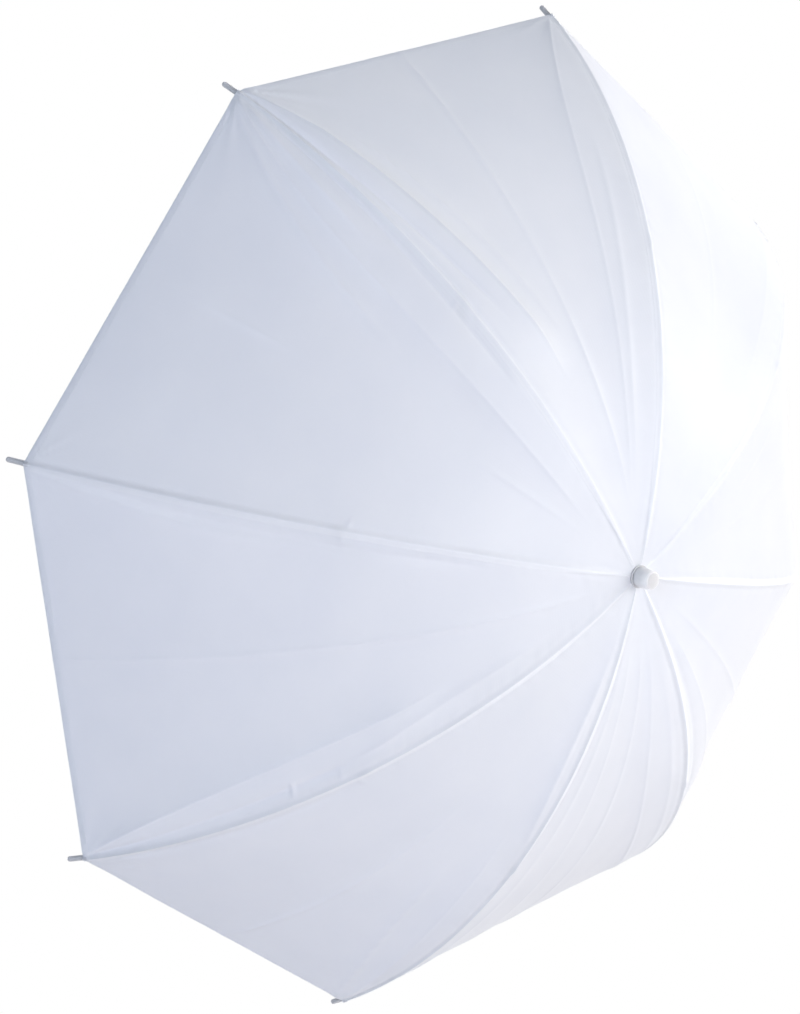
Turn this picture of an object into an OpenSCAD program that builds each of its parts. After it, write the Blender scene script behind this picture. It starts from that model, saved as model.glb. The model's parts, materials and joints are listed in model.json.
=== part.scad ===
// Umbrella reflector: a white shoot-through canopy on eight sprung ribs, for a studio light.
//
// Each sub-part is drawn with the shaft along +Z and the crown at the top, and place() lays the
// shaft down along Y, so that the canopy's closed side faces -Y. Z = 0 is the middle of the bare
// stem at the free end, where a light's umbrella clamp grips the tube. The rib drawn first lies in
// the XZ plane, and at_rib() turns it to its place round the shaft.

/* [Shaft] */
// Outer diameter of the shaft tube
shaft_d = 8; // [7.8:0.05:8.1]
// Wall thickness of the shaft tube
shaft_wall = 0.6; // [0.5:0.05:0.65]
// Length of the bare stem for the clamp, centred on the origin
stem_length = 120; // [100:5:120]
// Height of the rib pivots above the middle of the stem
crown_height = 500; // [498:1:520]

/* [Ribs] */
// Length of the fabric along a rib, from the rib's pivot to the corner of the canopy
rib_length = 415; // [405:1:420]
// Angle that a rib bends through along that length
rib_turn = 60; // [58:0.5:61]
// Angle at which a rib rises as it leaves its pivot
rib_rise = 1.3; // [1:0.1:2]
// Diameter of the rib wire
rib_wire_d = 2.4; // [2:0.1:2.4]
// Distance of the rib and stretcher pivots from the shaft's axis
pivot_radius = 6.5; // [6.4:0.05:6.6]

/* [Stretchers] */
// Place of the stretcher's joint along the rib, as a share of rib_length
joint_share = 0.52; // [0.51:0.005:0.53]
// Depth of the joint's pin below the middle of the rib wire
joint_drop = 4; // [4:0.1:4.5]
// Diameter of the stretcher rod
stretcher_d = 2.2; // [1.8:0.1:2.3]

/* [Runner] */
// Length of the runner's sleeve below the stretcher pivots
runner_sleeve = 25; // [24:0.5:26]
// Clearance between the runner and the shaft, on the radius
runner_gap = 0.15; // [0.1:0.05:0.2]

/* [Canopy] */
// Thickness of the canopy's solid
fabric_t = 0.5; // [0.4:0.05:0.5]
// Height of the fabric's middle above the middle of the rib wire
fabric_lift = 2.15; // [2.15:0.05:2.3]
// Number of straight stretches along one half-panel of the canopy
fabric_steps = 24; // [12:1:32]

/* [Top cap] */
// Diameter of the cap at its foot
cap_d = 14; // [13:0.5:15]
// Length of the cap
cap_length = 12; // [11:0.5:14]

/* [Hidden] */
$fn = 48;
RIBS = [1, 2, 3, 4, 5, 6, 7, 8];

// Shaft
shaft_r = shaft_d / 2;
bore_r = shaft_r - shaft_wall;
fixed_gap = 0.02;               // between pieces that are fastened together
tube_top = crown_height + 11;
tube_foot = -stem_length / 2;
ring_z = stem_length / 2;       // the stop ring's groove ends the bare stem
ring_h = 1.5;
groove_depth = 0.3;

// Ribs lie on one circle of radius rib_bend, centred at (bend_x, bend_z)
rib_pitch = 360 / len(RIBS);
half_pitch = rib_pitch / 2;
first_rib = 74.6;               // direction of rib 1 round the shaft
rib_bend = rib_length / (rib_turn * PI / 180);
bend_x = pivot_radius + rib_bend * sin(rib_rise);
bend_z = crown_height - rib_bend * cos(rib_rise);
rib_r = rib_wire_d / 2;
function rib_angle(length) = rib_turn * length / rib_length - rib_rise;
function rib_point(length, lift = 0) =
    [bend_x + (rib_bend + lift) * sin(rib_angle(length)),
     bend_z + (rib_bend + lift) * cos(rib_angle(length))];

// Eyes and the wires that they turn on
wire_r = 0.5;
wire_gap = 0.05;                // running clearance of an eye on its wire or pin
eye_r = 1.5;
eye_t = 1.2;
slot_w = 1.5;
slot_foot_r = 4.9;
head_r = 8.2;
wire_groove_r = 5.85;
tongue_length = 7;              // flat end of a rib or stretcher, from pivot to round wire

// Stretchers: as long as the distance from the crown pivot to the joint's pin
joint_at = joint_share * rib_length;
joint_angle = rib_angle(joint_at);
joint_pin = rib_point(joint_at, -joint_drop);
stretcher_length = norm(joint_pin - [pivot_radius, crown_height]);
stretcher_angle = asin((crown_height - joint_pin[1]) / stretcher_length);
runner_z = crown_height - 2 * stretcher_length * sin(stretcher_angle);
joint_pin_r = 0.8;
joint_eye_r = 1.9;
joint_eye_t = 1.6;
sleeve_r = 1.75;
sleeve_length = 8;
ear_t = 0.7;
ear_y = joint_eye_t / 2 + 0.1;

// Crown and runner heads, measured from their pivots
crown_above = 1.7;
crown_below = 3.5;
runner_above = 3.5;
runner_floor = 1.8;
sleeve_outer_r = 6;
grip_r = 7.4;
grip_h = 4;

// Catch: a steel spring leaf that holds the open runner up
catch_turn = first_rib + half_pitch + 180;
catch_x = -1.2;
catch_z = runner_z - runner_sleeve - 30.8;
catch_top = 30.3;
catch_w = 2;
catch_pin_r = 0.7;
catch_eye_r = 1.3;
nose_x = 6;
catch_slot_w = 2.5;
catch_slot_foot = 11.5;
catch_slot_top = 32.5;

// Stop pin above the open runner
stop_r = 1;
stop_length = 12;
stop_z = runner_z + runner_above + 1.2;
stop_turn = first_rib + half_pitch;

// Rib tips
tip_r = 1.8;
tip_start = rib_length - 0.6;
tip_end = rib_length + 12;
tip_bore_gap = 0.06;            // the straight bore takes the end of a bent wire
wire_end = rib_length + 6.5;
fabric_end = rib_length - 1;

// Canopy
seam_gap = 0.15;                // half the gap that is left between two half-panels
fabric_start_r = 4.6;
hub_z = rib_point(0, fabric_lift)[1];
washer_z = hub_z + fabric_t / 2 + 0.2;
washer_t = 1;
washer_r = 7.6;
cap_z = washer_z + washer_t + fixed_gap;

// Finishes
steel = [0.72, 0.73, 0.75];
chrome = [0.82, 0.83, 0.85];
pale_plastic = [0.86, 0.86, 0.88];
grey_plastic = [0.55, 0.56, 0.59];
white_nylon = [0.94, 0.95, 0.98];

// Shared shapes

module place() {
    rotate([90, 0, 0]) children();
}

module at_rib(k) {
    rotate([0, 0, first_rib + rib_pitch * (k - 1)]) children();
}

// A round bar across the XZ plane at the origin
module bar_y(r, length) {
    rotate([90, 0, 0]) cylinder(r = r, h = length, center = true);
}

// A round bar that follows the rib's circle between two lengths along the rib
module bent_bar(r, from, to) {
    translate([bend_x, 0, bend_z])
        rotate([90, 0, 0])
            rotate([0, 0, 90 - rib_angle(to)])
                rotate_extrude(angle = rib_angle(to) - rib_angle(from))
                    translate([rib_bend, 0])
                        circle(r = r);
}

// A flat tongue along X with an eye at the origin, not yet drilled
module eye_blank(r, t, length, height) {
    bar_y(r, t);
    translate([0, -t / 2, -height / 2]) cube([length, t, height]);
}

// The round wire that threads the eyes of a head
module wire_ring(z) {
    translate([0, 0, z])
        rotate_extrude()
            translate([pivot_radius, 0])
                circle(r = wire_r);
}

// The slots and the wire groove of a notched head, with the pivots at z = 0
module notches(low, high) {
    for (k = RIBS)
        at_rib(k) translate([slot_foot_r, -slot_w / 2, low]) cube([head_r, slot_w, high - low]);
    rotate_extrude()
        translate([wire_groove_r, -wire_r - wire_gap])
            square([head_r, 2 * (wire_r + wire_gap)]);
}

// Shaft and what is fixed to it

module shaft_tube() {
    color(chrome)
        difference() {
            translate([0, 0, tube_foot]) cylinder(r = shaft_r, h = tube_top - tube_foot);
            translate([0, 0, tube_foot - 1]) cylinder(r = bore_r, h = tube_top - tube_foot + 2);
            translate([0, 0, ring_z])
                rotate_extrude()
                    translate([shaft_r - groove_depth, 0])
                        square([1, ring_h]);
            translate([0, 0, stop_z]) rotate([0, 0, stop_turn]) bar_y(stop_r + fixed_gap, 2 * shaft_d);
            rotate([0, 0, catch_turn])
                translate([0, 0, catch_z]) {
                    translate([catch_x, 0, 0]) bar_y(catch_pin_r + fixed_gap, 2 * shaft_d);
                    translate([0, -catch_slot_w / 2, catch_slot_foot])
                        cube([shaft_d, catch_slot_w, catch_slot_top - catch_slot_foot]);
                }
        }
}

module shaft_end_plug() {
    head_h = 3;
    head_edge = 0.8;
    plug_r = shaft_r - 0.2;
    color(grey_plastic)
        translate([0, 0, tube_foot]) {
            cylinder(r = bore_r - fixed_gap, h = 10);
            rotate_extrude()
                polygon([[0, 0], [plug_r, 0], [plug_r, -head_h + head_edge],
                         [plug_r - head_edge, -head_h], [0, -head_h]]);
        }
}

module stop_ring() {
    ring_r = 5.2;
    color(steel)
        translate([0, 0, ring_z + 0.05])
            difference() {
                cylinder(r = ring_r, h = ring_h - 0.1);
                translate([0, 0, -1])
                    cylinder(r = shaft_r - groove_depth + fixed_gap, h = ring_h + 2);
            }
}

module stop_pin() {
    color(steel)
        translate([0, 0, stop_z])
            rotate([0, 0, stop_turn])
                bar_y(stop_r, stop_length);
}

module catch_spring() {
    leaf = [[-1.9, 0], [-0.5, 0], [2.9, 13], [nose_x, catch_top - 1], [nose_x, catch_top],
            [1.8, catch_top], [1.2, 18]];
    color(steel)
        rotate([0, 0, catch_turn])
            translate([0, 0, catch_z])
                difference() {
                    union() {
                        rotate([90, 0, 0])
                            linear_extrude(height = catch_w, center = true)
                                polygon(leaf);
                        translate([catch_x, 0, 0]) bar_y(catch_eye_r, catch_w);
                    }
                    translate([catch_x, 0, 0]) bar_y(catch_pin_r + wire_gap, 2 * catch_w);
                }
}

module catch_pin() {
    pin_edge = abs(catch_x) + catch_pin_r;
    length = 2 * sqrt(shaft_r * shaft_r - pin_edge * pin_edge);
    color(steel)
        rotate([0, 0, catch_turn])
            translate([catch_x, 0, catch_z])
                bar_y(catch_pin_r, length);
}

module crown() {
    color(pale_plastic)
        translate([0, 0, crown_height])
            difference() {
                translate([0, 0, -crown_below]) cylinder(r = head_r, h = crown_below + crown_above);
                cylinder(r = shaft_r + fixed_gap, h = 4 * crown_below, center = true);
                notches(-crown_below - 1, crown_above + 1);
            }
}

module crown_wire() {
    color(steel) wire_ring(crown_height);
}

module fabric_washer() {
    color(pale_plastic)
        translate([0, 0, washer_z])
            difference() {
                cylinder(r = washer_r, h = washer_t);
                cylinder(r = shaft_r + fixed_gap, h = 4 * washer_t, center = true);
            }
}

module top_cap() {
    taper = 0.9;
    edge = 0.9;
    foot_r = cap_d / 2;
    end_r = foot_r - taper;
    color(pale_plastic)
        translate([0, 0, cap_z])
            difference() {
                rotate_extrude()
                    polygon([[0, 0], [foot_r, 0], [end_r, cap_length - edge],
                             [end_r - edge, cap_length], [0, cap_length]]);
                translate([0, 0, -1])
                    cylinder(r = shaft_r + fixed_gap, h = tube_top - cap_z + 1 + fixed_gap);
            }
}

// Runner

module runner() {
    color(pale_plastic)
        translate([0, 0, runner_z])
            difference() {
                union() {
                    translate([0, 0, -runner_floor - 1.2])
                        cylinder(r = head_r, h = runner_floor + 1.2 + runner_above);
                    translate([0, 0, -runner_sleeve]) cylinder(r = sleeve_outer_r, h = runner_sleeve);
                    translate([0, 0, -runner_sleeve]) cylinder(r = grip_r, h = grip_h);
                }
                cylinder(r = shaft_r + runner_gap, h = 4 * runner_sleeve, center = true);
                notches(-runner_floor, runner_above + 1);
            }
}

module runner_wire() {
    color(steel) wire_ring(runner_z);
}

// Ribs and stretchers, drawn along +X

module rib() {
    tongue_h = 2.2;
    color(steel)
        difference() {
            union() {
                bent_bar(rib_r, tongue_length - 1, wire_end);
                translate([pivot_radius, 0, crown_height])
                    rotate([0, -rib_rise, 0])
                        eye_blank(eye_r, eye_t, tongue_length, tongue_h);
            }
            translate([pivot_radius, 0, crown_height]) bar_y(wire_r + wire_gap, 2 * eye_t);
        }
}

module rib_tip() {
    middle = (tip_start + tip_end) / 2;
    half = (tip_end - tip_start) / 2;
    dome = [for (a = [90 : -15 : 0]) [tip_r * sin(a), half - tip_r + tip_r * cos(a)]];
    color(pale_plastic)
        translate([rib_point(middle)[0], 0, rib_point(middle)[1]])
            rotate([0, 90 + rib_angle(middle), 0])
                difference() {
                    rotate_extrude() polygon(concat([[0, -half], [tip_r, -half]], dome));
                    translate([0, 0, -half - 1])
                        cylinder(r = rib_r + tip_bore_gap, h = wire_end - tip_start + 1.2);
                }
}

module rib_bracket() {
    ear_top = -0.3;
    rivet_r = 1.2;
    rivet_h = 0.4;
    ear_out = ear_y + ear_t;
    color(steel)
        translate([rib_point(joint_at)[0], 0, rib_point(joint_at)[1]])
            rotate([0, joint_angle, 0])
                union() {
                    difference() {
                        union() {
                            rotate([0, 90, 0])
                                cylinder(r = sleeve_r, h = sleeve_length, center = true);
                            for (side = [-1, 1])
                                translate([0, side * (ear_y + ear_t / 2), -joint_drop]) {
                                    bar_y(joint_eye_r, ear_t);
                                    translate([-joint_eye_r, -ear_t / 2, 0])
                                        cube([2 * joint_eye_r, ear_t, joint_drop + ear_top]);
                                }
                        }
                        rotate([0, 90, 0])
                            cylinder(r = rib_r + wire_gap, h = 2 * sleeve_length, center = true);
                    }
                    translate([0, 0, -joint_drop]) {
                        bar_y(joint_pin_r, 2 * ear_out);
                        for (side = [-1, 1])
                            translate([0, side * (ear_out + rivet_h / 2), 0])
                                bar_y(rivet_r, rivet_h);
                    }
                }
}

module stretcher() {
    inner_h = 1.9;
    outer_h = 2;
    rod_start = tongue_length - 1;
    color(steel)
        translate([pivot_radius, 0, runner_z])
            rotate([0, -stretcher_angle, 0])
                difference() {
                    union() {
                        translate([rod_start, 0, 0])
                            rotate([0, 90, 0])
                                cylinder(r = stretcher_d / 2, h = stretcher_length - 2 * rod_start);
                        eye_blank(eye_r, eye_t, tongue_length, inner_h);
                        translate([stretcher_length, 0, 0])
                            rotate([0, 180, 0])
                                eye_blank(joint_eye_r, joint_eye_t, tongue_length, outer_h);
                    }
                    bar_y(wire_r + wire_gap, 2 * eye_t);
                    translate([stretcher_length, 0, 0])
                        bar_y(joint_pin_r + wire_gap, 2 * joint_eye_t);
                }
}

// Canopy. Cloth pulled tight between two ribs is straight from rib to rib, so a half-panel is its
// own middle line carried straight across to the rib.

// Points of the middle line: distance from the shaft's axis, and height
function panel_line() =
    [for (i = [-1 : fabric_steps])
        let (p = i < 0 ? [fabric_start_r, hub_z]
                       : rib_point(fabric_end * i / fabric_steps, fabric_lift))
        [p[0] * cos(half_pitch), p[1]]];

// The same line moved outward by d
function moved_line(line, d) =
    [for (i = [0 : len(line) - 1])
        let (along = line[min(i + 1, len(line) - 1)] - line[max(i - 1, 0)],
             out = [-along[1], along[0]] / norm(along))
        line[i] + d * out];

function backwards(line) = [for (i = [len(line) - 1 : -1 : 0]) line[i]];

// Half-panel on the far side of the rib, from the rib to the middle of the panel
module half_panel() {
    line = panel_line();
    outline = concat(moved_line(line, fabric_t / 2), backwards(moved_line(line, -fabric_t / 2)));
    reach = rib_length;
    width = rib_length / 2;
    color(white_nylon)
        difference() {
            rotate([0, 0, half_pitch])
                translate([0, -seam_gap, 0])
                    rotate([90, 0, 0])
                        linear_extrude(height = width)
                            polygon(outline);
            translate([-reach, seam_gap - 2 * reach, crown_height - reach])
                cube([3 * reach, 2 * reach, 2 * reach]);
        }
}

module canopy_left() {
    half_panel();
}

module canopy_right() {
    mirror([0, 1, 0]) half_panel();
}

place() shaft_tube();
place() shaft_end_plug();
place() stop_ring();
place() stop_pin();
place() catch_spring();
place() catch_pin();
place() crown();
place() crown_wire();
place() fabric_washer();
place() top_cap();
place() runner();
place() runner_wire();
for (k = RIBS) {
    place() at_rib(k) rib();
    place() at_rib(k) rib_tip();
    place() at_rib(k) rib_bracket();
    place() at_rib(k) stretcher();
    place() at_rib(k) canopy_left();
    place() at_rib(k) canopy_right();
}
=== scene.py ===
"""Umbrella reflector: the looks of a white shoot-through photo umbrella, built round its CAD frame.

The shaft lies along Y with the canopy's closed side facing -Y. Gore k is the panel of cloth from
rib k to rib k + 1. A place on a gore is (length, v): length along the rib in metres, and v across,
from -1 on rib k to 1 on rib k + 1. Each gore is two pieces that meet at its middle.
"""

import json
import math

import bpy
import numpy as np
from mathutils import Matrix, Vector


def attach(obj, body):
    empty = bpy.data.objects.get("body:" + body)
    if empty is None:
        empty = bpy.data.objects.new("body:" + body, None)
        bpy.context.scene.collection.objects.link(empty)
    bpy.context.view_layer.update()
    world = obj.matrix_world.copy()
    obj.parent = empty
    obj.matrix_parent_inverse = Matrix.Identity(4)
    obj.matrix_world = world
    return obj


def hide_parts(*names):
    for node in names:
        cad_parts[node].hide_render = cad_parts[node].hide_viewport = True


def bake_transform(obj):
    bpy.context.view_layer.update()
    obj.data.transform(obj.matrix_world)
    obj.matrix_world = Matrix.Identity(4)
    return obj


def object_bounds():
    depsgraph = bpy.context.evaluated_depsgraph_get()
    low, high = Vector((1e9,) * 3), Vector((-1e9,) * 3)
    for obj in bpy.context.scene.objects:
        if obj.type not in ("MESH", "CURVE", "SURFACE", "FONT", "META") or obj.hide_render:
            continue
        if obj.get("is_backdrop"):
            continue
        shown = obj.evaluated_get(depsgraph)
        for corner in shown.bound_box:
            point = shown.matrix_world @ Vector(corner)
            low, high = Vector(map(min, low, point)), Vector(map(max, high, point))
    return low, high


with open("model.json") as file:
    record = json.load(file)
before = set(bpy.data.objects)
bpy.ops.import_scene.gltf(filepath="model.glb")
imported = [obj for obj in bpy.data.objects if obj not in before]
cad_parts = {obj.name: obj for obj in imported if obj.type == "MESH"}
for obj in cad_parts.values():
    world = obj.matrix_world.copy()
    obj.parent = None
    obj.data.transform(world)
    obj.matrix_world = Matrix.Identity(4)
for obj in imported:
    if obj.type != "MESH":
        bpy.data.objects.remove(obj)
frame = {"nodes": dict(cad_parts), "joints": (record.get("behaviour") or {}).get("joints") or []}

CAD_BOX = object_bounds()
MM = 0.001
RIBS = range(1, 9)

# ---------------------------------------------------------------- dimensions, in metres

joints = {j["name"]: j for j in frame["joints"]}
crown_pivot = joints["fold"]["pos_m"]
PIVOT_RADIUS = math.hypot(crown_pivot[0], crown_pivot[2])
CROWN = -crown_pivot[1]
FIRST_RIB = math.atan2(crown_pivot[2], crown_pivot[0])
PITCH = math.radians(45)
HALF = PITCH / 2

RIB_LENGTH = 415 * MM
# A rib is an arc: RIB_TURN is its whole turn, BEND its radius and RIB_RISE its slope at the crown.
RIB_TURN = math.radians(60)
RIB_RISE = math.radians(1.3)
BEND = RIB_LENGTH / RIB_TURN
# Height of the tight cloth above the middle of the rib's wire
LIFT = 2.15 * MM
# The cloth starts just under the washer's edge, and ends a little short of the rib
HUB_RADIUS = 6.1 * MM
CLOTH_END = RIB_LENGTH - 1 * MM
HEM_WIDTH = 5 * MM
HEM_BEND = 0.35 * MM
SEAM_WIDTH = 4.2 * MM
STITCH_PITCH = 2.8 * MM
# Where the stretcher's joint is, along the rib
JOINT_AT = 0.52 * RIB_LENGTH


def rib_azimuth(k):
    return FIRST_RIB + PITCH * (k - 1)


def rib_curve(length, lift=0.0):
    """Distance from the shaft's axis, height and slope of a rib, lift above its middle."""
    turn = RIB_TURN * length / RIB_LENGTH - RIB_RISE
    radius = PIVOT_RADIUS + BEND * math.sin(RIB_RISE) + (BEND + lift) * np.sin(turn)
    height = CROWN - BEND * math.cos(RIB_RISE) + (BEND + lift) * np.cos(turn)
    return radius, height, turn


def in_world(radial, tangent, height, azimuth):
    """A place given by its distance out, its distance across and its height, turned to azimuth."""
    c, s = math.cos(azimuth), math.sin(azimuth)
    return np.stack([radial * c - tangent * s, -height, radial * s + tangent * c], -1)


# ---------------------------------------------------------------- shape of the cloth

# Creases and small folds: gore, height and half-width in mm, then two to four places (share of the
# rib's length, v) that the fold runs through. A negative height is a groove. A fold fades out at its
# first place, and at its last one too unless that is the canopy's edge.
FOLDS = [
    (1, 0.8, 1.8, (0.10, 0.00), (0.50, 0.07), (1.00, 0.02)),
    (1, 0.7, 2.8, (0.10, -0.25), (0.45, -0.62), (0.75, -0.80)),
    (1, -2.2, 2.6, (0.45, 0.72), (0.72, 0.92), (1.00, 0.985)),
    (1, 1.0, 2.2, (0.40, 0.20), (0.70, 0.56), (0.92, 0.80)),
    (2, 0.6, 1.8, (0.12, 0.00), (0.42, 0.00)),
    (2, 0.6, 1.8, (0.68, -0.02), (0.92, -0.02)),
    (2, 2.2, 3.0, (0.66, -0.80), (0.84, -0.88), (1.00, -0.985)),
    (2, 1.4, 3.0, (0.55, -0.36), (0.80, -0.62), (1.00, -0.95)),
    (2, -1.8, 3.0, (0.35, -0.86), (0.70, -0.93), (0.98, -0.985)),
    (3, 1.2, 1.8, (0.08, -0.06), (0.50, -0.07), (1.00, -0.04)),
    (3, -1.4, 2.6, (0.25, -0.84), (0.62, -0.88), (0.96, -0.97)),
    (3, 1.2, 2.4, (0.60, -0.80), (0.80, -0.88), (1.00, -0.98)),
    (3, -2.6, 3.2, (0.48, 0.84), (0.75, 0.91), (1.00, 0.985)),
    (3, 1.8, 3.0, (0.15, 0.55), (0.42, 0.74), (0.60, 0.92)),
    (4, 0.8, 1.8, (0.45, 0.03), (0.75, 0.04), (1.00, 0.02)),
    (4, 2.1, 3.4, (0.08, 0.62), (0.28, 0.73), (0.50, 0.94)),
    (4, 1.3, 3.0, (0.55, 0.40), (0.80, 0.62), (1.00, 0.93)),
    (4, -1.3, 3.0, (0.50, -0.90), (0.75, -0.93), (0.98, -0.98)),
    (5, 0.6, 1.8, (0.08, 0.02), (0.50, 0.05), (1.00, 0.00)),
    (5, 0.8, 3.0, (0.10, -0.75), (0.45, -0.70), (0.98, -0.90)),
    (5, 0.8, 3.0, (0.12, 0.68), (0.50, 0.80), (0.90, 0.94)),
    (6, 0.8, 1.8, (0.08, 0.00), (0.50, -0.03), (1.00, 0.00)),
    (6, -1.4, 3.0, (0.10, -0.82), (0.50, -0.84), (0.96, -0.95)),
    (7, 0.5, 1.8, (0.05, 0.00), (0.50, 0.03), (1.00, -0.02)),
    (8, 0.2, 1.8, (0.05, 0.00), (0.50, -0.03), (1.00, 0.02)),
]
# Slack folds, written the same way. Each stands proud along its own line, falls away over the given
# width on the side of the gore's middle, and runs down flat to the rib on the other side.
POCKETS = [
    (1, 1.5, 9.0, (0.10, -0.06), (0.54, -0.52), (0.80, -0.70), (1.00, -0.98)),
    (1, 6.5, 9.0, (0.34, 0.40), (0.62, 0.70), (0.80, 0.84), (1.00, 0.98)),
    (2, 2.4, 10.0, (0.12, -0.30), (0.48, -0.57), (0.80, -0.75), (1.00, -0.98)),
    (3, 4.6, 9.0, (0.36, 0.54), (0.55, 0.63), (0.80, 0.78), (1.00, 0.98)),
    (4, 1.8, 9.0, (0.45, 0.66), (0.80, 0.84), (1.00, 0.975)),
    (5, 1.4, 8.0, (0.08, -0.46), (0.33, -0.38), (0.62, -0.34), (0.95, -0.50)),
    (5, 1.6, 8.0, (0.08, 0.34), (0.30, 0.38), (0.60, 0.55), (0.95, 0.82)),
    (6, 2.0, 8.0, (0.08, -0.62), (0.50, -0.60), (0.98, -0.90)),
    (7, 1.0, 9.0, (0.20, 0.50), (0.60, 0.72), (1.00, 0.97)),
    (8, 0.6, 9.0, (0.15, -0.50), (0.55, -0.68), (1.00, -0.97)),
]
# Each slack fold has a fine crest on its line, as high as this share of the fold
CREST_SHARE = 0.10
CREST_WIDTH = 1.5 * MM
# How sharply a slack fold's two slopes meet on its line
POCKET_SHARPNESS = 22.0
# Short wrinkles square to a rib: gore, share of the rib's length, v, height in mm
PINCHES = [
    (1, 0.50, 0.93, 0.9), (2, 0.53, -0.94, 0.7), (2, 0.51, 0.95, 0.6), (3, 0.52, -0.95, 0.7),
    (3, 0.46, 0.93, 0.8), (3, 0.64, 0.90, 1.3), (3, 0.56, 0.94, 0.8), (4, 0.54, -0.94, 0.7),
]
# Depth of the middle of each gore below the straight line between its ribs, in mm
SAG = {1: 5.0, 2: 2.5, 3: 2.0, 4: 2.5, 5: 4.0, 6: 3.0, 7: 2.5, 8: 3.0}
# Height in mm of the pull lines at each gore's two corners
CORNER_PULL = {1: (0.5, 1.2), 2: (1.1, 0.4), 3: (0.6, 1.0), 4: (0.9, 0.4),
               5: (0.5, 0.6), 6: (0.6, 0.5), 7: (0.5, 0.5), 8: (0.5, 0.6)}

# Heights above the tight shape: over the rib, beside it, over its joint, over the seam's spare edges,
# in the stitches' puckers and over the crown's edge
RIDGE_HEIGHT = 0.50 * MM
DIP_DEPTH = 0.28 * MM
JOINT_BUMP = 0.75 * MM
SPARE_HEIGHT = 0.25 * MM
PUCKER_HEIGHT = 0.20 * MM
CROWN_EDGE_HEIGHT = 0.44 * MM


def smooth(t):
    """0 below t = 0, 1 above t = 1, and a smooth step between."""
    t = np.clip(t, 0.0, 1.0)
    return t * t * (3 - 2 * t)


def wander(a, b, seed):
    """Smooth value from -1 to 1 that changes with a and b, made of a few waves."""
    total = np.zeros(np.broadcast(a, b).shape)
    for n, (p, q) in enumerate(((1.0, 0.37), (0.61, -0.83), (1.67, 1.21), (-1.31, 1.93))):
        total = total + np.sin(a * p + b * q + seed * (1.7 + 0.9 * n) + n) / (1 + 0.5 * n)
    return total / 2.6


def fold_line(fold, share):
    """v of a fold's middle at each share of the length, and how far the fold has faded in, 0 to 1."""
    shares, middles = zip(*fold[3:])
    middle = np.polyval(np.polyfit(shares, middles, len(shares) - 1), share)
    present = smooth((share - shares[0]) / 0.12)
    if shares[-1] < 1:
        present = present * smooth((shares[-1] - share) / 0.12)
    return middle, present


def crease_height(fold, share, v, width):
    """Height of one of FOLDS: a single crease with a rounded top."""
    middle, present = fold_line(fold, share)
    across = (v - middle) * width / (fold[2] * MM)
    at_hem = 0.3 + 0.7 * smooth((1 - share) / 0.06)
    return fold[1] * MM * present * at_hem * np.exp(0.5 - np.sqrt(across**2 + 0.25))


def pocket_height(fold, share, v, width):
    """Height of one of POCKETS, on the side of its line towards the middle and on the side to the rib."""
    middle, present = fold_line(fold, share)
    side = 1.0 if fold[-1][1] > 0 else -1.0
    room = np.maximum((1 - side * middle) * width, 2 * MM)
    past = side * (v - middle) * width
    to_rib = np.clip(1 - past / room, -0.5, 3.0)
    to_middle = np.exp(np.clip(past / (fold[2] * MM), -8, 1.0))
    both = np.exp(-POCKET_SHARPNESS * to_rib) + np.exp(-POCKET_SHARPNESS * to_middle)
    slopes = np.maximum(-np.log(both) / POCKET_SHARPNESS, 0)
    crest = CREST_SHARE * np.exp(-((past / CREST_WIDTH) ** 2))
    return present * np.clip(room / (14 * MM), 0, 1) * fold[1] * MM * (slopes + crest)


def pinch_height(pinch, share, v, width):
    """Height of one of PINCHES: a short wrinkle square to the rib."""
    _, at_share, at_v, height = pinch
    along = (share - at_share) * CLOTH_END / (1.6 * MM)
    across = (v - at_v) * width / (6 * MM)
    return height * MM * np.exp(-(along**2) - across**2)


def seam_width(half_width):
    """Width of the seam's folded edge, which is trimmed narrower where the gore runs out at the hub."""
    return SEAM_WIDTH * np.clip(half_width / (32 * MM), 0.3, 1.0)


def relief_at_rib(length, v, width, from_rib):
    """Height of the cloth over a rib and its seam, where it follows what lies under it."""
    near_hub = np.clip(width / (12 * MM), 0.15, 1.0)
    # the rib under its seam: a ridge, and the slight dip that the pull of the cloth leaves beside it
    ridge = RIDGE_HEIGHT * np.exp(-((from_rib / (1.4 * MM * near_hub)) ** 2))
    dip_place = (from_rib - 3.6 * MM * near_hub) / (2.0 * MM)
    dip = -DIP_DEPTH * near_hub * np.exp(-(dip_place**2))
    # the sleeve of the stretcher's joint pushes up under the cloth
    at_joint = np.exp(-(((length - JOINT_AT) / (5 * MM)) ** 2) - (from_rib / (2.6 * MM)) ** 2)
    # the seam's two spare edges are folded to one side of the rib and sewn down
    within_seam = smooth((seam_width(width) + 0.6 * MM - from_rib) / (1.2 * MM))
    spare = np.where(v < 0, SPARE_HEIGHT * near_hub * within_seam, 0.0)
    spare = spare * smooth(from_rib / (1.4 * MM))
    # between the ribs the cloth lies on the crown's edge, outside the washer that clamps it
    at_crown = np.exp(-((length / (3 * MM)) ** 2)) * smooth(length / MM + 1)
    over_crown = CROWN_EDGE_HEIGHT * (1 - v**4) * at_crown
    return ridge + dip + JOINT_BUMP * at_joint + spare + over_crown


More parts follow.
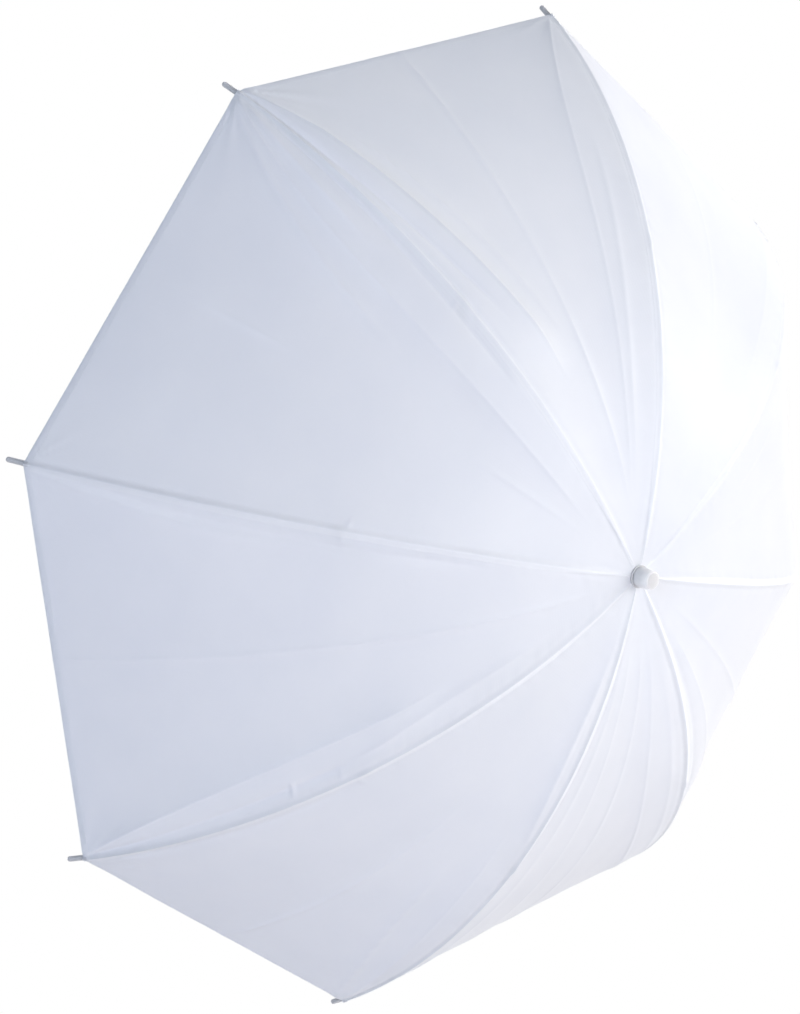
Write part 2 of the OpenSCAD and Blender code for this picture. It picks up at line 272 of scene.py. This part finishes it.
def relief_between_ribs(gore, length, v, width, from_rib):
    """Height of the folds, wrinkles and unevenness of a gore's free cloth."""
    share = length / CLOTH_END
    folds = sum(crease_height(f, share, v, width) for f in FOLDS if f[0] == gore)
    folds = folds + sum(pocket_height(f, share, v, width) for f in POCKETS if f[0] == gore)
    folds = folds + sum(pinch_height(f, share, v, width) for f in PINCHES if f[0] == gore)
    # the stitches draw the cloth up in short puckers square to the seam
    side = np.where(v < 0, 1.0, 2.0)
    pucker = PUCKER_HEIGHT * wander(length / (2.6 * MM), 0 * v, gore * 2 + side)
    pucker = pucker * np.exp(-((from_rib - 5 * MM) / (7 * MM)) ** 2) * smooth(share / 0.1)
    # pull lines that fan out from the corner
    to_corner = np.hypot(CLOTH_END - length, from_rib)
    angle = np.arctan2(from_rib, CLOTH_END - length + 1e-6)
    pull = np.where(v < 0, CORNER_PULL[gore][0], CORNER_PULL[gore][1])
    fan = pull * MM * wander(angle * 13, to_corner / (90 * MM), gore + 5 * side)
    fan = fan * np.exp(-to_corner / (40 * MM)) * smooth(to_corner / (26 * MM))
    # slow unevenness of cloth that isn't pulled equally everywhere
    slow = 0.5 * MM * wander(v * width / (19 * MM), length / (85 * MM), gore * 3.1)
    slow = slow + 0.12 * MM * wander(v * width / (6 * MM), length / (38 * MM), gore * 7.7)
    slow = slow * smooth(width / (50 * MM)) * smooth((CLOTH_END - length) / (60 * MM) + 0.35)
    return folds + pucker + fan + slow


def relief(gore, length, v):
    """Height of the cloth above its tight shape, in metres."""
    radius, _, _ = rib_curve(length, LIFT)
    width = radius * math.sin(HALF)
    from_rib = width * (1 - np.abs(v))
    share = np.clip(length / CLOTH_END, 0, 1)
    sag = -SAG[gore] * MM * (1 - v**2) * np.sin(math.pi * share**0.9)
    free = smooth(from_rib / (6 * MM))
    loose = relief_between_ribs(gore, length, v, width, from_rib)
    return relief_at_rib(length, v, width, from_rib) + sag + free * loose


def cloth(gore, length, v):
    """Places on a gore in the row frame. length past CLOTH_END goes round the hem and back inside."""
    length, v = np.broadcast_arrays(np.asarray(length, float), np.asarray(v, float))
    past = np.clip(length - CLOTH_END, 0, None)
    on_top = np.minimum(length, CLOTH_END)
    radius, height, turn = rib_curve(np.maximum(on_top, 0), LIFT)
    radius = np.where(on_top < 0, radius + on_top, radius)
    azimuth = rib_azimuth(gore) + HALF
    middle = in_world(radius * math.cos(HALF), radius * math.sin(HALF) * v, height, azimuth)
    # outward direction: square to the flat panel, and square to the rib where the cloth lies on it
    panel = in_world(np.sin(turn), 0 * turn, np.cos(turn) * math.cos(HALF), azimuth)
    side = np.where(v < 0, -1.0, 1.0)
    c, s = math.cos(HALF), math.sin(HALF)
    over_rib = in_world(np.sin(turn) * c, np.sin(turn) * s * side, np.cos(turn), azimuth)
    panel = panel / np.linalg.norm(panel, axis=-1, keepdims=True)
    from_rib = radius * s * (1 - np.abs(v))
    share = np.exp(-((from_rib / (5 * MM)) ** 2))[..., None]
    out = panel * (1 - share) + over_rib * share
    out = out / np.linalg.norm(out, axis=-1, keepdims=True)
    place = middle + out * relief(gore, on_top, v)[..., None]
    # the hem: round the edge on a small radius, then back along the inside
    along = in_world(np.cos(turn), 0 * turn, -np.sin(turn), azimuth)
    round_turn = np.minimum(past / HEM_BEND, math.pi)
    back = np.clip(past - math.pi * HEM_BEND, 0, None)
    outward = HEM_BEND * np.sin(round_turn) - back
    inward = HEM_BEND * (1 - np.cos(round_turn))
    return place + along * outward[..., None] - out * inward[..., None]


def normals_of(gore, length, v):
    """Outward directions of the cloth, by small steps along it."""
    step = 0.4 * MM
    radius, _, _ = rib_curve(np.maximum(length, 0), LIFT)
    dv = step / (radius * math.sin(HALF))
    beyond = np.abs(v) + dv > 1
    low = np.where(beyond & (v < 0), v, v - dv)
    high = np.where(beyond & (v > 0), v, v + dv)
    across = cloth(gore, length, high) - cloth(gore, length, low)
    along = cloth(gore, length + step / 2, v) - cloth(gore, length - step / 2, v)
    out = np.cross(along, across)
    return out / np.linalg.norm(out, axis=-1, keepdims=True)


# ---------------------------------------------------------------- materials

def new_material(name):
    """A material with an empty node tree."""
    material = bpy.data.materials.new(name)
    material.use_nodes = True
    tree = material.node_tree
    tree.nodes.clear()
    return material, tree


def add(tree, kind, inputs=None, **settings):
    """A node with its settings and its input values or links."""
    n = tree.nodes.new(kind)
    for key, value in settings.items():
        setattr(n, key, value)
    for key, value in (inputs or {}).items():
        if isinstance(value, bpy.types.NodeSocket):
            tree.links.new(value, n.inputs[key])
        else:
            n.inputs[key].default_value = value
    return n


def ramp(tree, factor, *stops):
    """A colour ramp with (place, colour) stops."""
    n = add(tree, "ShaderNodeValToRGB", {"Fac": factor})
    while len(n.color_ramp.elements) < len(stops):
        n.color_ramp.elements.new(1.0)
    for element, (place, colour) in zip(n.color_ramp.elements, stops):
        element.position = place
        element.color = (*colour, 1.0)
    return n.outputs["Color"]


def maths(tree, operation, a, b=0.0):
    """The output of a node that does one sum."""
    n = add(tree, "ShaderNodeMath", {0: a, 1: b}, operation=operation)
    return n.outputs[0]


def blend_colours(tree, factor, a, b):
    """Colour a where factor is 0 and b where it is 1. Each is a colour or a node's output."""
    n = add(tree, "ShaderNodeMix", {"Factor": factor}, data_type="RGBA")
    # a Mix node has its colour inputs at 6 and 7, and its colour output at 2
    for place, value in ((6, a), (7, b)):
        if isinstance(value, bpy.types.NodeSocket):
            tree.links.new(value, n.inputs[place])
        else:
            n.inputs[place].default_value = (*value, 1.0)
    return n.outputs[2]


NYLON_PASSES = 0.42


def nylon(name):
    """Thin white woven nylon that lets light through, with sewn seams and hem laid out in UV metres."""
    material, tree = new_material(name)
    uv = add(tree, "ShaderNodeUVMap", uv_map="cloth").outputs["UV"]
    seam = add(tree, "ShaderNodeUVMap", uv_map="edges").outputs["UV"]
    parts = add(tree, "ShaderNodeSeparateXYZ", {"Vector": uv})
    edges = add(tree, "ShaderNodeSeparateXYZ", {"Vector": seam})
    from_seam, from_hem = edges.outputs["X"], edges.outputs["Y"]
    blotch = add(tree, "ShaderNodeTexNoise", {"Vector": uv, "Scale": 16.0, "Detail": 3.0})
    fine = add(tree, "ShaderNodeTexNoise", {"Vector": uv, "Scale": 900.0, "Detail": 2.0})
    tint = ramp(tree, blotch.outputs["Fac"], (0.3, (0.895, 0.912, 0.942)), (0.7, (0.922, 0.935, 0.957)))

    def near(value, place, width):
        """1 where value is within width of place, 0 outside."""
        gap = maths(tree, "ABSOLUTE", maths(tree, "SUBTRACT", value, place))
        return maths(tree, "LESS_THAN", gap, width)

    def dashes(along):
        """1 on each stitch of a row, 0 between the stitches."""
        place = maths(tree, "FRACT", maths(tree, "DIVIDE", along, STITCH_PITCH))
        return maths(tree, "LESS_THAN", place, 0.72)

    # stitches: one row beside each rib and one along the hem
    seam_line = near(from_seam, SEAM_WIDTH - 0.7 * MM, 0.18 * MM)
    hem_line = near(from_hem, HEM_WIDTH - 1 * MM, 0.18 * MM)
    seam_row = maths(tree, "MULTIPLY", seam_line, dashes(parts.outputs["Y"]))
    hem_row = maths(tree, "MULTIPLY", hem_line, dashes(parts.outputs["X"]))
    stitches = maths(tree, "MAXIMUM", seam_row, hem_row)
    allowance = maths(tree, "LESS_THAN", from_seam, SEAM_WIDTH)
    hem_band = maths(tree, "LESS_THAN", from_hem, HEM_WIDTH - 0.2 * MM)
    double = maths(tree, "MAXIMUM", allowance, hem_band)
    colour = blend_colours(tree, double, tint, (0.93, 0.942, 0.965))
    # the plain weave, warp and weft
    warp = add(tree, "ShaderNodeTexWave", {"Vector": uv, "Scale": 150.0, "Distortion": 0.6},
               bands_direction="X")
    weft = add(tree, "ShaderNodeTexWave", {"Vector": uv, "Scale": 150.0, "Distortion": 0.6},
               bands_direction="Y")
    weave = maths(tree, "ADD", warp.outputs["Fac"], weft.outputs["Fac"])
    weave = maths(tree, "ADD", weave, maths(tree, "MULTIPLY", fine.outputs["Fac"], 1.2))
    weave_bump = add(tree, "ShaderNodeBump", {
        "Height": weave, "Strength": 0.12, "Distance": 0.06 * MM})
    stitch_bump = add(tree, "ShaderNodeBump", {
        "Height": stitches, "Strength": 0.5, "Distance": 0.2 * MM,
        "Normal": weave_bump.outputs["Normal"]})
    layer_bump = add(tree, "ShaderNodeBump", {
        "Height": double, "Strength": 0.5, "Distance": 0.25 * MM,
        "Normal": stitch_bump.outputs["Normal"]})
    normal = layer_bump.outputs["Normal"]
    # the cloth lets NYLON_PASSES of the light through, and its seams and hem a little less
    diffuse = add(tree, "ShaderNodeBsdfDiffuse", {"Color": colour, "Roughness": 0.6, "Normal": normal})
    through = add(tree, "ShaderNodeBsdfTranslucent", {"Color": colour, "Normal": normal})
    held_at_seam = maths(tree, "MULTIPLY", allowance, 0.07)
    held_where_double = maths(tree, "MULTIPLY", double, 0.03)
    held_back = maths(tree, "ADD", held_at_seam, held_where_double)
    passed = maths(tree, "SUBTRACT", NYLON_PASSES, held_back)
    body = add(tree, "ShaderNodeMixShader", {
        "Fac": passed, 1: diffuse.outputs[0], 2: through.outputs[0]})
    sheen = add(tree, "ShaderNodeBsdfGlossy", {
        "Color": (1, 1, 1, 1), "Roughness": 0.42, "Normal": normal})
    facing = add(tree, "ShaderNodeFresnel", {"IOR": 1.35, "Normal": normal})
    amount = maths(tree, "MULTIPLY", facing.outputs["Fac"], 0.55)
    glossy = add(tree, "ShaderNodeMixShader", {
        "Fac": amount, 1: body.outputs[0], 2: sheen.outputs[0]})
    add(tree, "ShaderNodeOutputMaterial", {"Surface": glossy.outputs[0]})
    return material


def moulded_plastic(name, colour, roughness=0.42, depth=2 * MM, painted_end_shade=None):
    """Satin moulded plastic, uneven in colour and gloss, that light enters to about the given depth.

    The last argument paints shade: a darker colour for a face turned to -Y, though the plastic there is
    no different.
    """
    material, tree = new_material(name)
    coordinates = add(tree, "ShaderNodeTexCoord")
    where = coordinates.outputs["Object"]
    cloud = add(tree, "ShaderNodeTexNoise", {"Vector": where, "Scale": 220.0, "Detail": 4.0})
    grain = add(tree, "ShaderNodeTexNoise", {"Vector": where, "Scale": 2600.0, "Detail": 2.0})
    darker = tuple(0.93 * c for c in colour)
    tint = ramp(tree, cloud.outputs["Fac"], (0.35, darker), (0.65, colour))
    if painted_end_shade is not None:
        # painted shade: faces turned to -Y blend into the darker end colour
        facing = add(tree, "ShaderNodeSeparateXYZ", {"Vector": coordinates.outputs["Normal"]})
        painted_shade_on_end = add(tree, "ShaderNodeMapRange", {
            "Value": facing.outputs["Y"], "From Min": -0.9, "From Max": -0.5,
            "To Min": 1.0, "To Max": 0.0})
        tint = blend_colours(tree, painted_shade_on_end.outputs["Result"], tint, painted_end_shade)
    rough = add(tree, "ShaderNodeMapRange", {"Value": cloud.outputs["Fac"], "To Min": roughness - 0.06,
                                             "To Max": roughness + 0.08})
    bump = add(tree, "ShaderNodeBump", {
        "Height": grain.outputs["Fac"], "Strength": 0.18, "Distance": 0.05 * MM})
    surface = add(tree, "ShaderNodeBsdfPrincipled", {
        "Base Color": tint, "Roughness": rough.outputs["Result"], "Normal": bump.outputs["Normal"],
        "IOR": 1.48, "Subsurface Weight": 0.8, "Subsurface Scale": depth,
        "Subsurface Radius": (1.0, 1.0, 1.0)})
    add(tree, "ShaderNodeOutputMaterial", {"Surface": surface.outputs[0]})
    return material


def plated_steel(name, colour, roughness, streak=(1.0, 1.0, 1.0)):
    """Plated steel with drawn streaks, small stains and a change of gloss."""
    material, tree = new_material(name)
    where = add(tree, "ShaderNodeTexCoord").outputs["Object"]
    drawn = add(tree, "ShaderNodeMapping", {"Vector": where, "Scale": streak})
    lines = add(tree, "ShaderNodeTexNoise", {"Vector": drawn.outputs[0], "Scale": 700.0, "Detail": 3.0})
    stain = add(tree, "ShaderNodeTexNoise", {"Vector": where, "Scale": 55.0, "Detail": 5.0})
    darker = tuple(0.82 * c for c in colour)
    tint = ramp(tree, stain.outputs["Fac"], (0.32, darker), (0.62, colour))
    rough = add(tree, "ShaderNodeMapRange", {"Value": lines.outputs["Fac"], "To Min": roughness * 0.7,
                                             "To Max": roughness * 1.35})
    bump = add(tree, "ShaderNodeBump", {
        "Height": lines.outputs["Fac"], "Strength": 0.12, "Distance": 0.04 * MM})
    surface = add(tree, "ShaderNodeBsdfPrincipled", {
        "Base Color": tint, "Metallic": 1.0, "Roughness": rough.outputs["Result"],
        "Normal": bump.outputs["Normal"]})
    add(tree, "ShaderNodeOutputMaterial", {"Surface": surface.outputs[0]})
    return material


def thread(name):
    """Spun white thread."""
    material, tree = new_material(name)
    where = add(tree, "ShaderNodeTexCoord").outputs["Object"]
    twist = add(tree, "ShaderNodeTexWave", {"Vector": where, "Scale": 900.0, "Distortion": 1.5},
                bands_direction="DIAGONAL")
    tint = ramp(tree, twist.outputs["Fac"], (0.2, (0.74, 0.75, 0.78)), (0.8, (0.88, 0.89, 0.92)))
    bump = add(tree, "ShaderNodeBump", {
        "Height": twist.outputs["Fac"], "Strength": 0.4, "Distance": 0.1 * MM})
    surface = add(tree, "ShaderNodeBsdfPrincipled", {
        "Base Color": tint, "Roughness": 0.8, "Normal": bump.outputs["Normal"]})
    add(tree, "ShaderNodeOutputMaterial", {"Surface": surface.outputs[0]})
    return material


NYLON = nylon("white_nylon")
PALE = moulded_plastic("pale_plastic", (0.70, 0.69, 0.695))
# The cap's end is painted darker than its sides, a painted shade, as it looks in the photo
CAP_WHITE = moulded_plastic("cap_plastic", (0.90, 0.885, 0.89), 0.5, depth=12 * MM,
                            painted_end_shade=(0.50, 0.495, 0.50))
GREY = moulded_plastic("grey_plastic", (0.22, 0.225, 0.24), 0.5)
CHROME = plated_steel("chrome_tube", (0.80, 0.81, 0.83), 0.14, (1.0, 0.03, 1.0))
ZINC = plated_steel("zinc_wire", (0.66, 0.67, 0.69), 0.34)
SMALL_STEEL = plated_steel("small_steel", (0.58, 0.59, 0.61), 0.30)
THREAD = thread("thread")

FINISH = {
    "shaft_tube": CHROME, "shaft_end_plug": GREY, "stop_ring": SMALL_STEEL, "stop_pin": SMALL_STEEL,
    "catch_spring": SMALL_STEEL, "catch_pin": SMALL_STEEL, "crown": PALE, "crown_wire": SMALL_STEEL,
    "fabric_washer": PALE, "top_cap": CAP_WHITE, "runner": PALE, "runner_wire": SMALL_STEEL,
}
for k in RIBS:
    FINISH[f"rib_{k}"] = ZINC
    FINISH[f"stretcher_{k}"] = ZINC
    FINISH[f"rib_tip_{k}"] = PALE
    FINISH[f"rib_bracket_{k}"] = SMALL_STEEL


def dress(node, material):
    """Gives a CAD node its material."""
    mesh = frame["nodes"][node].data
    mesh.materials.clear()
    mesh.materials.append(material)


for node, material in FINISH.items():
    dress(node, material)

# ---------------------------------------------------------------- canopy

def steps(*runs):
    """Places from 0 upwards, each run (end, step) filled evenly up to its end."""
    places = [0.0]
    for end, step in runs:
        count = max(1, round((end - places[-1]) / step))
        places += list(np.linspace(places[-1], end, count + 1)[1:])
    return np.array(places)


# Lengths of the mesh's rows: the inner edge, the top of the cloth, round the hem's bend and back inside
ROUND_THE_HEM = np.array([0.28, 0.55, 0.82, 1.10]) * MM
ROWS = np.concatenate([
    [HUB_RADIUS - PIVOT_RADIUS],
    steps((3 * MM, 0.6 * MM), (20 * MM, 2.4 * MM), (CLOTH_END, 2.8 * MM)),
    CLOTH_END + ROUND_THE_HEM,
    CLOTH_END + ROUND_THE_HEM[-1] + np.array([0.25, 0.5, 1.0]) * HEM_WIDTH,
])
COLUMNS_EACH_SIDE = 36


def closer_at_ends(count):
    """Places from 0 to 1, closer together at both ends."""
    t = np.linspace(0, 1, count)
    evenness = 0.35
    return evenness * t + (1 - evenness) * 0.5 * (1 - np.cos(math.pi * t))


def places_across(gore, v_rib, length):
    """Places across half a gore for one row, as a share of its width from the rib.

    The columns run along the half-gore's slack fold, so that its edge stays crisp.
    """
    fold = next((f for f in POCKETS if f[0] == gore and f[-1][1] * v_rib > 0), None)
    crest = 0.5
    if fold:
        middle, _ = fold_line(fold, np.clip(length / CLOTH_END, 0, 1))
        crest = float(np.clip(1 - v_rib * middle, 0.03, 0.85))
    t = closer_at_ends(COLUMNS_EACH_SIDE)
    return np.concatenate([crest * t, crest + (1 - crest) * t[1:]])


def grid_mesh(name, places, flip):
    """A mesh of quads through a grid of places, rows by columns, turned over if flip is set."""
    rows, columns = places.shape[:2]
    index = np.arange(rows * columns).reshape(rows, columns)
    quads = np.stack([index[:-1, :-1], index[:-1, 1:], index[1:, 1:], index[1:, :-1]], -1)
    quads = quads.reshape(-1, 4)
    if flip:
        quads = quads[:, ::-1]
    mesh = bpy.data.meshes.new(name)
    mesh.from_pydata(places.reshape(-1, 3).tolist(), [], quads.tolist())
    mesh.polygons.foreach_set("use_smooth", np.ones(len(quads), bool))
    return mesh


def lay_out_cloth(mesh, gore, side, length, v):
    """UV maps in metres: cloth is the flat cloth, edges is the distance from the seam and the hem."""
    radius, _, _ = rib_curve(np.clip(length, 0, CLOTH_END), LIFT)
    width = radius * math.sin(HALF)
    flat = np.stack([v * width + gore, length], -1).reshape(-1, 2)
    from_seam = (1 - np.abs(v)) * width * SEAM_WIDTH / seam_width(width)
    # the seam's spare cloth lies on one side of the rib only
    if side < 0:
        from_seam = from_seam + SEAM_WIDTH
    edges = np.stack([from_seam, np.abs(CLOTH_END - length)], -1).reshape(-1, 2)
    corner = np.array([loop.vertex_index for loop in mesh.loops])
    for title, values in (("cloth", flat), ("edges", edges)):
        layer = mesh.uv_layers.new(name=title)
        layer.data.foreach_set("uv", values[corner].astype(np.float32).ravel())


def half_gore(k, side):
    """The half-panel on one side of rib k: side 1 towards rib k + 1, -1 towards rib k - 1."""
    side_name = "left" if side > 0 else "right"
    before = (k - 2) % 8 + 1
    gore, other = (k, before) if side > 0 else (before, k)
    v_rib = -1.0 if side > 0 else 1.0
    share = np.array([places_across(gore, v_rib, row) for row in ROWS])
    length = np.broadcast_to(ROWS[:, None], share.shape)
    v = v_rib * (1 - share)
    places = cloth(gore, length, v)
    out = normals_of(gore, length, v)
    # on the rib both half-panels share one direction, so the cloth shades as one sheet
    out[:, 0] += normals_of(other, ROWS, np.full(len(ROWS), -v_rib))
    out /= np.linalg.norm(out, axis=-1, keepdims=True)
    name = f"canopy_cloth_{k}_{side_name}"
    mesh = grid_mesh(name, places, flip=side > 0)
    mesh.materials.append(NYLON)
    lay_out_cloth(mesh, gore, side, length, v)
    mesh.normals_split_custom_set_from_vertices(out.reshape(-1, 3).tolist())
    obj = bpy.data.objects.new(name, mesh)
    bpy.context.scene.collection.objects.link(obj)
    # The places at the rib and at the gore's middle, half way along; nothing uses them.
    edge = places[len(ROWS) // 2, 0]
    centre = places[len(ROWS) // 2, -1]
    tuple(edge)
    tuple(centre)
    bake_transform(obj)
    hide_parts(f"canopy_{k}_{side_name}")


for k in RIBS:
    half_gore(k, 1)
    half_gore(k, -1)

# ---------------------------------------------------------------- thread

def rib_place(k, length, lift, across):
    """A place beside rib k: length along it, lift above the wire's middle, across to its side."""
    radius, height, _ = rib_curve(length, lift)
    return in_world(np.asarray(radius, float), np.asarray(across, float), height, rib_azimuth(k))


def winding(name, k, start, end, turns, half_width, low, high, thickness):
    """A few turns of thread round rib k, from below the wire (low) to the cloth above it (high)."""
    turn = np.linspace(0, 2 * math.pi * turns, 14 * turns + 1)
    length = start + (end - start) * turn / turn[-1]
    lift = (high + low) / 2 + (high - low) / 2 * np.cos(turn)
    path = rib_place(k, length, lift, half_width * np.sin(turn))
    return tube(name, path, thickness / 2, THREAD, 8)


def tube(name, path, radius, material, sides):
    """A tube round a path, closed at both ends."""
    along = np.gradient(path, axis=0)
    along /= np.linalg.norm(along, axis=1, keepdims=True)
    not_along_any = np.array([0.31, 0.47, 0.83])
    first = np.cross(along, not_along_any)
    first /= np.linalg.norm(first, axis=1, keepdims=True)
    second = np.cross(along, first)
    round_it = np.linspace(0, 2 * math.pi, sides, endpoint=False)[None, :, None]
    spokes = first[:, None] * np.cos(round_it) + second[:, None] * np.sin(round_it)
    rings = path[:, None] + radius * spokes
    count = len(path)
    index = np.arange(count * sides).reshape(count, sides)
    beside = np.roll(index, -1, axis=1)
    quads = np.stack([index[:-1], beside[:-1], beside[1:], index[1:]], -1).reshape(-1, 4).tolist()
    ends = [index[0][::-1].tolist(), index[-1].tolist()]
    mesh = bpy.data.meshes.new(name)
    mesh.from_pydata(rings.reshape(-1, 3).tolist(), [], quads + ends)
    mesh.materials.append(material)
    mesh.polygons.foreach_set("use_smooth", np.ones(len(mesh.polygons), bool))
    obj = bpy.data.objects.new(name, mesh)
    bpy.context.scene.collection.objects.link(obj)
    return obj


TIES_AT = (0.30, 0.75)
TIE_REACH = 1.1 * MM


def threads_of_rib(k):
    """The winding that sews the cloth's corner to the rib's tip, and the ties along the rib."""
    yield winding(f"tip_thread_{k}", k, CLOTH_END - 3.0 * MM, CLOTH_END + 0.2 * MM, turns=5,
                  half_width=1.75 * MM, low=-1.75 * MM, high=2.9 * MM, thickness=0.45 * MM)
    for number, share in enumerate(TIES_AT, 1):
        middle = share * RIB_LENGTH
        yield winding(f"rib_tie_{k}_{number}", k, middle - TIE_REACH, middle + TIE_REACH, turns=3,
                      half_width=1.6 * MM, low=-1.55 * MM, high=2.1 * MM, thickness=0.5 * MM)


for k in RIBS:
    for piece in threads_of_rib(k):
        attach(piece, f"rib_{k}")

# ---------------------------------------------------------------- stage, light and camera

LIT_MIDDLE = Vector((0.0, -0.4, 0.0))
# The photo's camera, fitted to the eight rib tips and the hub: its direction from the canopy, its lens,
# and its distance and aim in canopy radii, from the middle of the canopy's edge
VIEW_AZIMUTH = -39.97
VIEW_ELEVATION = 15.24
VIEW_LENS = 92.97
VIEW_DISTANCE = 5.174
VIEW_AIM = (-0.0664, 0.062, 0.0179)
# The tone of the surroundings away from the photo's view, as the camera sees them
GREY_TONE = 0.80


def direction(azimuth, elevation):
    """Unit vector away from the canopy, from angles in degrees. Azimuth 0 is -Y and 90 is +X."""
    a, e = math.radians(azimuth), math.radians(elevation)
    return Vector((math.sin(a) * math.cos(e), -math.cos(a) * math.cos(e), math.sin(e)))


def soft_light(name, azimuth, elevation, distance, size, power, colour):
    """A round soft box, placed by its direction and distance from the canopy."""
    back = direction(azimuth, elevation)
    data = bpy.data.lights.new(name, "AREA")
    data.shape = "DISK"
    data.size = size
    data.energy = power
    data.color = colour
    obj = bpy.data.objects.new(name, data)
    bpy.context.scene.collection.objects.link(obj)
    obj.location = LIT_MIDDLE + back * distance
    obj.rotation_euler = back.to_track_quat("Z", "Y").to_euler()


def vector_maths(tree, operation, output, a, b):
    """An output of a node that works on two vectors."""
    return add(tree, "ShaderNodeVectorMath", {0: a, 1: b}, operation=operation).outputs[output]


def backdrop_tone(tree, place):
    """White beyond the canopy as the photographer sees it, and pale grey the other way round."""
    azimuth = math.radians(VIEW_AZIMUTH)
    beyond = (-math.sin(azimuth), math.cos(azimuth), 0.0)
    level = vector_maths(tree, "MULTIPLY", "Vector", place, (1.0, 1.0, 0.0))
    away = vector_maths(tree, "DOT_PRODUCT", "Value", level, beyond)
    squared = vector_maths(tree, "DOT_PRODUCT", "Value", level, level)
    # within about this radius of the middle the tone changes slowly from one side to the other
    middle_radius = 0.9
    reach = maths(tree, "SQRT", maths(tree, "ADD", squared, middle_radius**2))
    side = maths(tree, "DIVIDE", away, reach)
    tone = add(tree, "ShaderNodeMapRange", {
        "Value": side, "From Min": -0.65, "From Max": 0.42, "To Min": GREY_TONE, "To Max": 1.0},
        interpolation_type="SMOOTHSTEP")
    return tone.outputs["Result"]


def seen_or_lit(tree, seen, lit):
    """Shows the camera, and mostly reflections too, one shader, and lets other light meet another."""
    path = add(tree, "ShaderNodeLightPath")
    mirrored = maths(tree, "MULTIPLY", path.outputs["Is Glossy Ray"], 0.6)
    share = maths(tree, "MAXIMUM", path.outputs["Is Camera Ray"], mirrored)
    return add(tree, "ShaderNodeMixShader", {"Fac": share, 1: lit, 2: seen}).outputs[0]


def floor(height, size):
    """A plain pale floor that runs out of sight. The camera sees its tone, without shadows."""
    mesh = bpy.data.meshes.new("floor")
    ground = [(-size, -size), (size, -size), (size, size), (-size, size)]
    mesh.from_pydata([(x, y, height) for x, y in ground], [], [(0, 1, 2, 3)])
    material, tree = new_material("floor_white")
    lit = add(tree, "ShaderNodeBsdfDiffuse", {"Color": (0.93, 0.93, 0.93, 1.0)})
    tone = backdrop_tone(tree, add(tree, "ShaderNodeTexCoord").outputs["Object"])
    seen = add(tree, "ShaderNodeEmission", {"Color": (1, 1, 1, 1), "Strength": tone})
    both = seen_or_lit(tree, seen.outputs[0], lit.outputs[0])
    add(tree, "ShaderNodeOutputMaterial", {"Surface": both})
    mesh.materials.append(material)
    obj = bpy.data.objects.new("floor", mesh)
    bpy.context.scene.collection.objects.link(obj)
    obj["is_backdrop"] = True


def studio_walls(strength, colour):
    """Pale surroundings, seen brighter than they light."""
    scene_world = bpy.data.worlds.new("studio")
    scene_world.use_nodes = True
    tree = scene_world.node_tree
    tree.nodes.clear()
    lit = add(tree, "ShaderNodeBackground", {"Color": (*colour, 1.0), "Strength": strength})
    way = add(tree, "ShaderNodeTexCoord").outputs["Generated"]
    far = vector_maths(tree, "MULTIPLY", "Vector", way, (1000.0, 1000.0, 1000.0))
    tone = backdrop_tone(tree, far)
    seen = add(tree, "ShaderNodeBackground", {"Color": (1, 1, 1, 1), "Strength": tone})
    add(tree, "ShaderNodeOutputWorld", {"Surface": seen_or_lit(tree, seen.outputs[0], lit.outputs[0])})
    bpy.context.scene.world = scene_world


def camera():
    """The photographer's view: from the upper left of the closed side, far back on a long lens."""
    back = direction(VIEW_AZIMUTH, VIEW_ELEVATION)
    radius, height, _ = rib_curve(CLOTH_END, LIFT)
    data = bpy.data.cameras.new("camera")
    data.lens = VIEW_LENS
    data.sensor_width = 36.0
    data.clip_end = 200.0
    obj = bpy.data.objects.new("camera", data)
    bpy.context.scene.collection.objects.link(obj)
    aim = Vector((0.0, -height, 0.0)) + Vector(VIEW_AIM) * radius
    obj.location = aim + back * VIEW_DISTANCE * radius
    obj.rotation_euler = (-back).to_track_quat("-Z", "Y").to_euler()
    bpy.context.scene.camera = obj


floor(-0.75, 60.0)
studio_walls(0.03, (0.85, 0.92, 1.0))
soft_light("key", azimuth=60, elevation=12, distance=3.0, size=1.6,
           power=58.0, colour=(1.0, 0.99, 0.94))
soft_light("left", azimuth=-65, elevation=25, distance=3.0, size=1.6,
           power=42.0, colour=(0.74, 0.84, 1.0))
soft_light("low", azimuth=0, elevation=-11, distance=3.0, size=1.2,
           power=26.5, colour=(1.0, 0.90, 0.97))
soft_light("right", azimuth=100, elevation=15, distance=3.0, size=1.6,
           power=16.0, colour=(0.82, 0.84, 1.0))
soft_light("near", azimuth=15, elevation=10, distance=1.1, size=0.7,
           power=7.0, colour=(1.0, 1.0, 1.0))
soft_light("rear", azimuth=140, elevation=25, distance=3.0, size=1.6,
           power=25.0, colour=(0.84, 0.82, 1.0))
bpy.context.scene.view_settings.view_transform = "Standard"
camera()

boxes = {"cad": CAD_BOX, "visual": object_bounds()}
{name: [list(corner) for corner in box] for name, box in boxes.items()}
